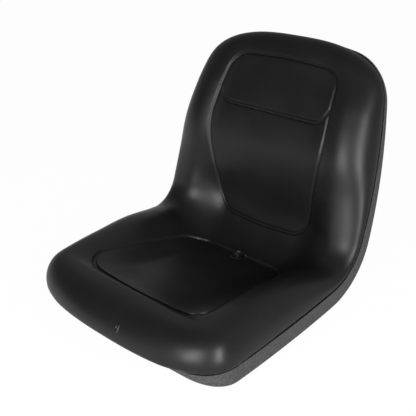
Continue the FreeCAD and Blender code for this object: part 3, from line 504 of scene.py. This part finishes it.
def cushionHalf():  # widest line of the cushion, nose to head
    noseAlong = rimFront - cushion["nose"]
    angle = np.linspace(0, math.pi / 2, 400)
    power = 2 / cushion["nosePower"]
    along = noseAlong + cushion["noseCorner"] * (1 - np.cos(angle) ** power)
    nose = np.stack([along, sideHalf(along) * np.sin(angle) ** power], axis=1)
    power = 2 / cushion["headPower"]
    along = rimTop - cushion["headCorner"] * (1 - np.sin(angle) ** power)
    head = np.stack([along, sideHalf(along) * np.cos(angle) ** power], axis=1)
    along = np.linspace(nose[-1, 0], head[0, 0], 400)[1:-1]
    side = np.stack([along, sideHalf(along)], axis=1)
    line = mirrored(resample(np.concatenate([nose, side, head]), 1.0))
    reach = cushion["soften"]
    weights = np.exp(-0.5 * (np.arange(-3 * reach, 3 * reach + 1) / reach) ** 2)
    padded = np.concatenate([line[-3 * reach:], line, line[:3 * reach]])
    weights = weights / weights.sum()
    soft = np.stack([np.convolve(padded[:, axis], weights, "valid") for axis in (0, 1)], axis=1)
    half = soft[:len(soft) // 2 + 1]
    half[0, 1] = half[-1, 1] = 0
    return half


grooves = {
    # depth, then floor and wall to either side of the line; a welt is a low ridge along the floor
    "crease": {"depth": 3.4, "floor": 0.9, "wall": 3.6, "welt": 0.0, "weltHalf": 2.6},
    "welted": {"depth": 3.3, "floor": 2.3, "wall": 2.7, "welt": 1.1, "weltHalf": 2.7},
    "pillow": 1.6, "pillowReach": 7.5,  # skin drawn down beside a groove
    "seat": {"front": -250.0, "rear": 11.0, "frontHalf": 154.0, "rearHalf": 115.0,
             "corner": 44.0, "bow": 11.0},
    "back": {"foot": bendRun - 26, "waist": bendRun + 145, "head": bendRun + 294, "footHalf": 108.5,
             "waistHalf": 141.0, "headHalf": 125.0, "corner": 42.0, "side": 300.0, "bow": 6.0},
    "divide": {"low": bendRun + 193, "rise": 28.0, "inset": 15.0, "corner": 30.0},
    "bowBend": 600.0,
    "onTop": 0.6, "far": 99.0,  # grooves lie only where the skin swells more, and else are this far away
    "refine": ((14.0, 32.0), (9.0, 26.0), (6.2, 21.0)),  # finer skin this near a groove, and round the marks
    "shortestEdge": 0.0012,
}


def roundedPath(corners, closed=True):  # corners are along, across and radius
    spots = [np.array(corner[:2], float) for corner in corners]
    points = []
    for index, corner in enumerate(spots):
        radius = corners[index][2]
        if radius == 0:
            points.append(corner[None, :])
            continue
        before, after = spots[index - 1] - corner, spots[(index + 1) % len(spots)] - corner
        before, after = before / np.hypot(*before), after / np.hypot(*after)
        half = math.acos(float(np.clip(before @ after, -1, 1))) / 2
        middle = corner + (before + after) / np.hypot(*(before + after)) * radius / math.sin(half)
        first = corner + before * radius / math.tan(half) - middle
        last = corner + after * radius / math.tan(half) - middle
        angle = math.atan2(first[1], first[0])
        swing = (math.atan2(last[1], last[0]) - angle + math.pi) % (2 * math.pi) - math.pi
        angles = angle + np.linspace(0, swing, 24)
        points.append(middle + radius * np.stack([np.cos(angles), np.sin(angles)], axis=1))
    points = np.concatenate(points)
    return np.concatenate([points, points[:1]]) if closed else points


def grooveLines():
    seat, back, divide, bend = grooves["seat"], grooves["back"], grooves["divide"], grooves["bowBend"]
    f, r, c = seat["frontHalf"], seat["rearHalf"], seat["corner"]
    lines = [roundedPath([
        (seat["front"], -f, c), (seat["front"] - seat["bow"], 0, bend), (seat["front"], f, c),
        (seat["rear"], r, c), (seat["rear"], -r, c)])]
    low, wide, high, c = back["footHalf"], back["waistHalf"], back["headHalf"], back["corner"]
    lines.append(roundedPath([
        (back["foot"], -low, c), (back["foot"] - back["bow"], 0, bend), (back["foot"], low, c),
        (back["waist"], wide, back["side"]), (back["head"], high, c),
        (back["head"] + back["bow"], 0, bend), (back["head"], -high, c),
        (back["waist"], -wide, back["side"])]))
    top = divide["low"] + divide["rise"]
    side = wide + (high - wide) * (top - back["waist"]) / (back["head"] - back["waist"])
    inner, c = side - divide["inset"], divide["corner"]
    lines.append(roundedPath([(top, -side, 0), (divide["low"], -inner, c), (divide["low"], inner, c),
                              (top, side, 0)], closed=False))
    return lines


def grooveFinder(lines):
    points = np.concatenate([resample(line, 0.5) for line in lines])
    tree = KDTree(len(points))
    for index, (along, across) in enumerate(points):
        tree.insert((along, across, 0), index)
    tree.balance()
    return tree


def grooveDrop(kind, away):  # how far the skin sinks at this distance from a groove's line
    cut = grooves[kind]
    wall = cut["depth"] * (1 - smooth((away - cut["floor"]) / cut["wall"]))
    welt = cut["welt"] * (1 - smooth(away / cut["weltHalf"]))
    return wall - welt + grooves["pillow"] * np.exp(-away / grooves["pillowReach"])


marks = {
    "drain": 128.0, "mouth": (7.0, 6.0), "mouthDepth": 8.0,  # y; where the mouth begins, and its width
    "bead": 1.7, "beadRing": (14.2, 2.4),  # raised ring, its radius and width
    "bore": 7.6, "boreMiddle": 0.04, "boreDrill": 45, "creaseAngle": 50,
    "nick": (33.0, -222.0, 72.0), "nickOut": (0.0, -0.86, 0.5),  # place, and way out of the roll
    "nickSize": (3.0, 4.5),  # half sizes
    "nickDepth": 1.8, "nickBend": 0.35, "nickLip": 1.0, "nickLipRing": (1.3, 0.4), "nickWithin": 12,
}


def drainDrop(points):  # mouth of the drain in the bend, with a raised ring
    r = np.hypot(points[:, 0] * 1000, points[:, 1] * 1000 - marks["drain"])
    begin, over = marks["mouth"]
    ring, width = marks["beadRing"]
    bead = marks["bead"] * np.exp(-((r - ring) / width) ** 2)
    return marks["mouthDepth"] * (1 - smooth((r - begin) / over)) - bead


def nickOffset(points):  # a small crescent cut in the front roll, its lower lip turned up
    out = np.array(marks["nickOut"]) / np.hypot(*marks["nickOut"][1:])
    to = points * 1000 - np.array(marks["nick"])
    u, v = to[:, 0] / marks["nickSize"][0], to @ np.array((0.0, out[2], -out[1])) / marks["nickSize"][1]
    bent = np.hypot(u - marks["nickBend"] * v * v, v)
    ring, width = marks["nickLipRing"]
    lip = marks["nickLip"] * np.exp(-((bent - ring) / width) ** 2) * (u > 0)
    cut = -marks["nickDepth"] * (1 - smooth(bent)) + lip
    cut = np.where(np.abs(to @ out) < marks["nickWithin"], cut, 0)
    return out * cut[:, None] / 1000


def signedDistance(points, outline):  # below zero inside
    best = np.full(len(points), 1e9)
    inside = np.zeros(len(points), bool)
    for a, b in zip(outline, np.roll(outline, -1, axis=0)):
        edge = b - a
        to = points - a
        share = np.clip((to @ edge) / max(edge @ edge, 1e-9), 0, 1)
        best = np.minimum(best, np.hypot(*(to - share[:, None] * edge).T))
        crosses = (a[1] > points[:, 1]) != (b[1] > points[:, 1])
        if a[1] != b[1]:
            inside ^= crosses & (points[:, 0] < a[0] + edge[0] * (points[:, 1] - a[1]) / edge[1])
    return np.where(inside, -best, best)


def cushionRows():  # along, across, height of the edge, and how far the skin swells from it to the crown
    outline = mirrored(resample(cushionHalf(), cushion["outlineStep"]))
    way, length = spokes(outline, cushion["spine"])
    along = outline[:, 0]
    rim = mirrored(resample(rimHalf(), cushion["rimStep"]))
    overhang = np.maximum(signedDistance(outline, rim), 0)
    lipWide, lipHigh = cushion["lipRound"]
    tuck = np.maximum(overhang, lipWide)
    ahead = np.clip(overhang / cushion["nose"], 0, 1)
    begin, over = cushion["noseDropSpan"]
    lip = cushion["lip"] + cushion["lipFront"] * smooth(overhang / cushion["lipFrontSpan"])
    lip = lip - cushion["noseDrop"] * smooth((overhang - begin) / over)
    edge = lip + lipHigh + (cushion["noseHeight"] - lipHigh) * ahead ** cushion["edgePower"]
    begin, over = cushion["noseRollSpan"]
    atNose = smooth((rimFront + cushion["nose"] + begin - along) / over)
    begin, over = cushion["headRollSpan"]
    atHead = smooth((along - rimTop + begin) / over)
    upBack = smooth((along - cushion["backRollFrom"] * bendRun) / bendRun)
    begin, over = cushion["waistSpan"]
    atWaist = np.exp(-((along - bendRun - begin) / over) ** 2)
    roll = cushion["sideRoll"] + (cushion["noseRoll"] - cushion["sideRoll"]) * atNose
    roll = roll + (cushion["backRoll"] - cushion["sideRoll"]) * upBack
    roll = roll + (cushion["waistRoll"] - cushion["backRoll"]) * atWaist
    roll = roll + (cushion["headRoll"] - cushion["backRoll"]) * atHead
    rows, count = [], cushion["rows"]

    def addRow(distance, base, swell):
        spot = outline + way * distance[:, None]
        rows.append(np.stack([spot[:, 0], spot[:, 1], base, np.full(len(spot), swell)], axis=1))

    for share in np.linspace(1, 0, count["top"])[:-1]:  # spine to crest
        addRow(roll + (length - roll) * share, edge, 1.0)
    for angle in np.linspace(math.pi / 2, 0, count["roll"]):  # crest over the roll to the widest line
        addRow(roll * (1 - math.cos(angle)), edge, math.sin(angle))
    for angle in np.linspace(0, math.pi / 2, count["tuck"])[1:]:  # tucked under to the rim
        addRow(tuck * (1 - math.cos(angle)), edge - (edge - lip) * math.sin(angle), 0.0)
    for inward, sunk in cushion["intoPan"]:
        addRow(tuck + inward, lip + (cushion["lip"] - lip) * min(1, sunk) - sunk, 0.0)
    places, depths = wellDepths()
    inward, sunk = cushion["intoPan"][-1]
    (side, sideRun), (front, frontRun) = cushion["bellySide"], cushion["bellyFront"]
    top, topRun = cushion["bellyTop"]
    for share in np.linspace(0, 1, count["belly"])[1:]:  # underside of the foam, down into the well
        distance = tuck + inward + (length - tuck - inward) * share
        spot = (outline + way * distance[:, None])[:, 0]
        belly = np.interp(spot, places, depths) - cushion["bellyGap"] - cushion["bellyLift"]
        belly = belly * smooth((distance - side) / sideRun)
        belly = belly * smooth((spot - pan["wellFront"] - front) / frontRun)
        belly = belly * smooth((pan["wellTop"] - top - spot) / topRun)
        addRow(distance, cushion["lip"] - sunk - belly, 0.0)
    return rows


def makeCushion():
    rows = cushionRows()
    count = len(rows[0])
    data = np.concatenate(rows)
    seatLine, backLine, divideLine = grooveLines()
    finders = {"crease": grooveFinder([backLine]), "welted": grooveFinder([seatLine, divideLine])}

    def skin(data):
        along, across, base, swell = data.T
        height = base + (crownHeight(along, across) - base) * swell
        top = swell > grooves["onTop"]
        nearest, drop = np.full(len(data), grooves["far"]), np.zeros(len(data))
        for kind, finder in finders.items():
            away = np.full(len(data), grooves["far"])
            away[top] = [finder.find((u, v, 0))[2] for u, v in data[top, :2]]
            nearest, drop = np.minimum(nearest, away), np.maximum(drop, grooveDrop(kind, away))
        plain = ontoSeat(along, across, height)
        places = ontoSeat(along, across, height - (drop + np.where(top, drainDrop(plain), 0)) * swell)
        return nearest, places + nickOffset(places), plain

    mesh = bpy.data.meshes.new("cushionSkin")
    mesh.from_pydata(skin(data)[2].tolist(), [], skinFaces(count, len(rows)))
    shape = bmesh.new()
    shape.from_mesh(mesh)
    layers = [shape.verts.layers.float.new(name) for name in ("along", "across", "base", "swell")]
    for vert, values in zip(shape.verts, data.tolist()):
        for layer, value in zip(layers, values):
            vert[layer] = value
    bmesh.ops.remove_doubles(shape, verts=shape.verts, dist=mergeWithin)
    bmesh.ops.dissolve_degenerate(shape, edges=shape.edges, dist=mergeWithin)
    for reach, around in grooves["refine"]:
        shape.verts.index_update()
        data = np.array([[vert[layer] for layer in layers] for vert in shape.verts])
        away, _, plain = skin(data)
        fromDrain = np.hypot(plain[:, 0], plain[:, 1] - marks["drain"] / 1000)
        near = away < reach
        near |= (data[:, 3] > grooves["onTop"]) & (fromDrain < around / 1000)
        near |= np.linalg.norm(plain * 1000 - np.array(marks["nick"]), axis=1) < around / 2
        edges = [edge for edge in shape.edges if edge.calc_length() > grooves["shortestEdge"]
                 and near[edge.verts[0].index] and near[edge.verts[1].index]]
        bmesh.ops.subdivide_edges(shape, edges=edges, cuts=1, use_grid_fill=True)
    shape.verts.index_update()
    data = np.array([[vert[layer] for layer in layers] for vert in shape.verts])
    for vert, place in zip(shape.verts, skin(data)[1].tolist()):
        vert.co = place
    bmesh.ops.recalc_face_normals(shape, faces=shape.faces)
    for layer in layers[::-1]:
        shape.verts.layers.float.remove(shape.verts.layers.float[layer.name])
    shape.to_mesh(mesh)
    shape.free()
    thing = newObject("cushionSkin", mesh)
    place = (0, marks["drain"] / 1000, marks["boreMiddle"])
    cutRound(thing, [(place, (0, 0, 1), marks["bore"], marks["boreDrill"])], marks["creaseAngle"])
    return thing


cushionSkin = makeCushion()
print("cushion moulded:", len(cushionSkin.data.polygons), "faces")


# Fasteners on the ledge

fastener = {
    "thread": 6.0, "pitch": 1.0, "length": 12.0, "plate": 26.0, "plateHeight": 2.0,
    "across": 10.0, "nutHeight": 6.0, "nutBore": 6.2, "faceShare": 0.475,  # flat end's radius, of the width
    "rodSides": 20, "rodSteps": 62, "coneSides": 48, "boreSides": 32,
}


def newTree(name, sizes):  # geometry in and out, and a named size for each input
    tree = bpy.data.node_groups.new(name, "GeometryNodeTree")
    tree.interface.new_socket("Geometry", in_out="INPUT", socket_type="NodeSocketGeometry")
    tree.interface.new_socket("Geometry", in_out="OUTPUT", socket_type="NodeSocketGeometry")
    for label in sizes:
        tree.interface.new_socket(label, in_out="INPUT", socket_type="NodeSocketFloat")
    return tree, addNode(tree, "NodeGroupInput").outputs


def placeOnLedge(tree, piece, given, material):  # one at each place, its Z along the axis kept there
    axis = addNode(tree, "GeometryNodeInputNamedAttribute", {"Name": "axis"}, data_type="FLOAT_VECTOR")
    turned = addNode(tree, "FunctionNodeAlignRotationToVector", {"Vector": axis.outputs[0]}, axis="Z")
    spread = addNode(tree, "GeometryNodeInstanceOnPoints", {
        "Points": given["Geometry"], "Instance": piece, "Rotation": turned.outputs[0]})
    real = addNode(tree, "GeometryNodeRealizeInstances", {"Geometry": spread.outputs[0]})
    finished = addNode(tree, "GeometryNodeSetMaterial", {"Geometry": real.outputs[0], "Material": material})
    addNode(tree, "NodeGroupOutput", {"Geometry": finished.outputs[0]})


def lifted(tree, geometry, height):
    up = addNode(tree, "ShaderNodeCombineXYZ", {"Z": height})
    return addNode(tree, "GeometryNodeTransform", {
        "Geometry": geometry, "Translation": up.outputs[0]}).outputs[0]


def studTree():
    tree, given = newTree("threaded stud", ("Thread", "Pitch", "Length", "Plate", "Plate height", "Sheet"))
    inside = maths(tree, "ADD", given["Sheet"], given["Plate height"])
    long = maths(tree, "ADD", given["Length"], inside)
    rod = addNode(tree, "GeometryNodeMeshCylinder", {
        "Vertices": fastener["rodSides"], "Side Segments": fastener["rodSteps"],
        "Radius": maths(tree, "MULTIPLY", given["Thread"], 0.5), "Depth": long})
    # thread: the radius follows a saw of the height and the turn round the rod
    spot = addNode(tree, "ShaderNodeSeparateXYZ", {0: addNode(tree, "GeometryNodeInputPosition").outputs[0]})
    x, y, z = spot.outputs
    share = maths(tree, "DIVIDE", maths(tree, "ARCTAN2", y, x), 2 * math.pi)
    wind = maths(tree, "SUBTRACT", maths(tree, "DIVIDE", z, given["Pitch"]), share)
    cut = maths(tree, "MULTIPLY", maths(tree, "PINGPONG", wind, 1.0), given["Pitch"])
    cut = maths(tree, "MULTIPLY", cut, -0.5)
    flat = addNode(tree, "ShaderNodeCombineXYZ", {"X": x, "Y": y})
    way = addNode(tree, "ShaderNodeVectorMath", {0: flat.outputs[0]}, operation="NORMALIZE")
    inward = addNode(tree, "ShaderNodeVectorMath", {0: way.outputs[0], "Scale": cut}, operation="SCALE")
    thread = addNode(tree, "GeometryNodeSetPosition", {
        "Geometry": rod.outputs["Mesh"], "Offset": inward.outputs[0]})
    half = maths(tree, "MULTIPLY", long, 0.5)
    thread = lifted(tree, thread.outputs[0], maths(tree, "SUBTRACT", half, given["Length"]))
    size = addNode(tree, "ShaderNodeCombineXYZ", {
        "X": given["Plate"], "Y": given["Plate"], "Z": given["Plate height"]})
    plate = addNode(tree, "GeometryNodeMeshCube", {"Size": size.outputs[0]})
    half = maths(tree, "MULTIPLY", given["Plate height"], 0.5)
    plate = lifted(tree, plate.outputs["Mesh"], maths(tree, "ADD", half, given["Sheet"]))
    both = addNode(tree, "GeometryNodeJoinGeometry", {"Geometry": [thread, plate]})
    placeOnLedge(tree, both.outputs[0], given, zinc)
    return tree


def nutTree():  # hexagon with its outer corners turned off by a cone, and a bore
    tree, given = newTree("hexagon nut", ("Across", "Height", "Bore"))
    prism = addNode(tree, "GeometryNodeMeshCylinder", {
        "Vertices": 6, "Radius": maths(tree, "MULTIPLY", given["Across"], 1 / math.sqrt(3)),
        "Depth": given["Height"]})
    prism = lifted(tree, prism.outputs["Mesh"], maths(tree, "MULTIPLY", given["Height"], -0.5))
    face = maths(tree, "MULTIPLY", given["Across"], fastener["faceShare"])
    flare = maths(tree, "MULTIPLY", given["Height"], math.sqrt(3))
    cone = addNode(tree, "GeometryNodeMeshCone", {
        "Vertices": fastener["coneSides"], "Radius Top": maths(tree, "ADD", face, flare),
        "Radius Bottom": face, "Depth": given["Height"]})
    cone = lifted(tree, cone.outputs["Mesh"], maths(tree, "MULTIPLY", given["Height"], -1.0))
    body = addNode(tree, "GeometryNodeMeshBoolean", {"Mesh 2": [prism, cone]}, operation="INTERSECT")
    drill = addNode(tree, "GeometryNodeMeshCylinder", {
        "Vertices": fastener["boreSides"], "Radius": maths(tree, "MULTIPLY", given["Bore"], 0.5),
        "Depth": maths(tree, "MULTIPLY", given["Height"], 4.0)})
    nut = addNode(tree, "GeometryNodeMeshBoolean", {
        "Mesh 1": body.outputs["Mesh"], "Mesh 2": drill.outputs["Mesh"]}, operation="DIFFERENCE")
    placeOnLedge(tree, nut.outputs["Mesh"], given, zinc)
    return tree


def makeOnLedge(name, tree, sizes):
    mesh = bpy.data.meshes.new(name)
    mesh.from_pydata([place for place, _ in studPlaces()], [], [])
    axis = mesh.attributes.new("axis", "FLOAT_VECTOR", "POINT")
    axis.data.foreach_set("vector", [part for _, way in studPlaces() for part in way])
    thing = newObject(name, mesh)
    nodes = thing.modifiers.new("fasteners", "NODES")
    nodes.node_group = tree
    for socket in tree.interface.items_tree:
        if socket.in_out == "INPUT" and socket.name in sizes:
            nodes[socket.identifier] = sizes[socket.name] / 1000
    settle(thing)
    return thing


studs = makeOnLedge("cushionStuds", studTree(), {
    "Thread": fastener["thread"], "Pitch": fastener["pitch"], "Length": fastener["length"],
    "Plate": fastener["plate"], "Plate height": fastener["plateHeight"], "Sheet": pan["steel"]})
nuts = makeOnLedge("studNuts", nutTree(), {
    "Across": fastener["across"], "Height": fastener["nutHeight"], "Bore": fastener["nutBore"]})
print("studs and nuts:", len(studs.data.polygons), len(nuts.data.polygons), "faces")

for thing, material in ((cushionSkin, vinyl), (seatPan, coat)):
    thing.data.materials.clear()
    thing.data.materials.append(material)
for node, material in (("drain_sleeve", plastic), ("weld_nuts", coat)):
    thing = bpy.data.objects[node]
    thing.data.materials.clear()
    thing.data.materials.append(material)

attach(cushionSkin, "root")
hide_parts("cushion")
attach(seatPan, "root")
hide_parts("seat_pan")
for thing, node in ((studs, "cushion_studs"), (nuts, "stud_nuts")):
    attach(thing, "root")
    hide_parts(node)


# Stage, light and camera

studio = {
    "azimuth": math.radians(42.77), "elevation": math.radians(24.71),
    "target": (0.0, 0.056, 0.227), "distance": 1.3327, "shift": (-0.0115, -0.0362),
    "focalPixels": 716.6, "imagePixels": 416, "sensorMm": 36,
    "floor": "#f4f4f4", "floorReach": 60, "floorHeight": -0.0003,
    "paperGlow": 0.97,  # share of the white that the eye and reflections get
    "room": 0.1, "backdrop": 0.6,  # in front of the seat, and the white sweep behind it
    "roomToBackdrop": (-0.2, 0.5),  # Y of the direction
    "aim": (0, -0.1, 0.2),
    "lamps": {  # place, size and power
        "stripLeft": ((0.42, -1.95, 0.5), (0.2, 1.3), 48),
        "stripRight": ((1.72, -0.94, 0.66), (0.3, 1.6), 58),
    },
}


def makeStage():
    mesh = bpy.data.meshes.new("floor")
    reach, height = studio["floorReach"], studio["floorHeight"]
    corners = [(x * reach, y * reach, height) for x, y in ((-1, -1), (1, -1), (1, 1), (-1, 1))]
    mesh.from_pydata(corners, [], [(0, 1, 2, 3)])
    floor = newObject("floor", mesh)
    material = bpy.data.materials.new("white paper sweep")
    material.use_nodes = True
    tree = material.node_tree
    tree.nodes.clear()
    paper = addNode(tree, "ShaderNodeBsdfDiffuse", {"Color": linear(studio["floor"])})
    path = addNode(tree, "ShaderNodeLightPath")
    seen = maths(tree, "MAXIMUM", path.outputs["Is Camera Ray"], path.outputs["Is Glossy Ray"])
    seen = maths(tree, "MAXIMUM", seen, path.outputs["Is Transmission Ray"])
    share = maths(tree, "MULTIPLY", seen, studio["paperGlow"])
    glow = addNode(tree, "ShaderNodeEmission", {"Color": (1, 1, 1, 1), "Strength": 1.0})
    both = addNode(tree, "ShaderNodeMixShader", {0: share, 1: paper.outputs[0], 2: glow.outputs[0]})
    addNode(tree, "ShaderNodeOutputMaterial", {"Surface": both.outputs[0]})
    mesh.materials.append(material)


def makeWorld():
    world = bpy.data.worlds.new("studio")
    world.use_nodes = True
    tree = world.node_tree
    tree.nodes.clear()
    way = addNode(tree, "ShaderNodeTexCoord").outputs["Generated"]
    north = addNode(tree, "ShaderNodeSeparateXYZ", {0: way}).outputs["Y"]
    glow = spanned(tree, north, studio["room"], studio["backdrop"], source=studio["roomToBackdrop"])
    sky = addNode(tree, "ShaderNodeBackground", {"Color": (1, 1, 1, 1), "Strength": glow})
    addNode(tree, "ShaderNodeOutputWorld", {"Surface": sky.outputs[0]})
    bpy.context.scene.world = world


def softBox(name, place, aim, size, power):
    light = bpy.data.lights.new(name, "AREA")
    light.shape = "RECTANGLE"
    light.size, light.size_y = size
    light.energy = power
    thing = newObject(name, light)
    thing.location = place
    thing.rotation_euler = (Vector(aim) - Vector(place)).to_track_quat("-Z", "Y").to_euler()


def makeCamera():
    a, e = studio["azimuth"], studio["elevation"]
    back = Vector((math.sin(a) * math.cos(e), -math.cos(a) * math.cos(e), math.sin(e)))
    right = Vector((math.cos(a), math.sin(a), 0))
    up = back.cross(right)
    data = bpy.data.cameras.new("camera")
    data.sensor_width = studio["sensorMm"]
    data.lens = studio["focalPixels"] / studio["imagePixels"] * studio["sensorMm"]
    data.clip_end = 100
    camera = newObject("camera", data)
    place = Vector(studio["target"]) + back * studio["distance"]
    place += right * studio["shift"][0] + up * studio["shift"][1]
    basis = Matrix((right, up, back)).transposed()
    camera.matrix_world = Matrix.Translation(place) @ basis.to_4x4()
    bpy.context.scene.camera = camera


makeStage()
makeWorld()
for name, (place, size, power) in studio["lamps"].items():
    softBox(name, place, studio["aim"], size, power)
makeCamera()
bpy.context.scene.view_settings.view_transform = "Standard"
print("studio ready")
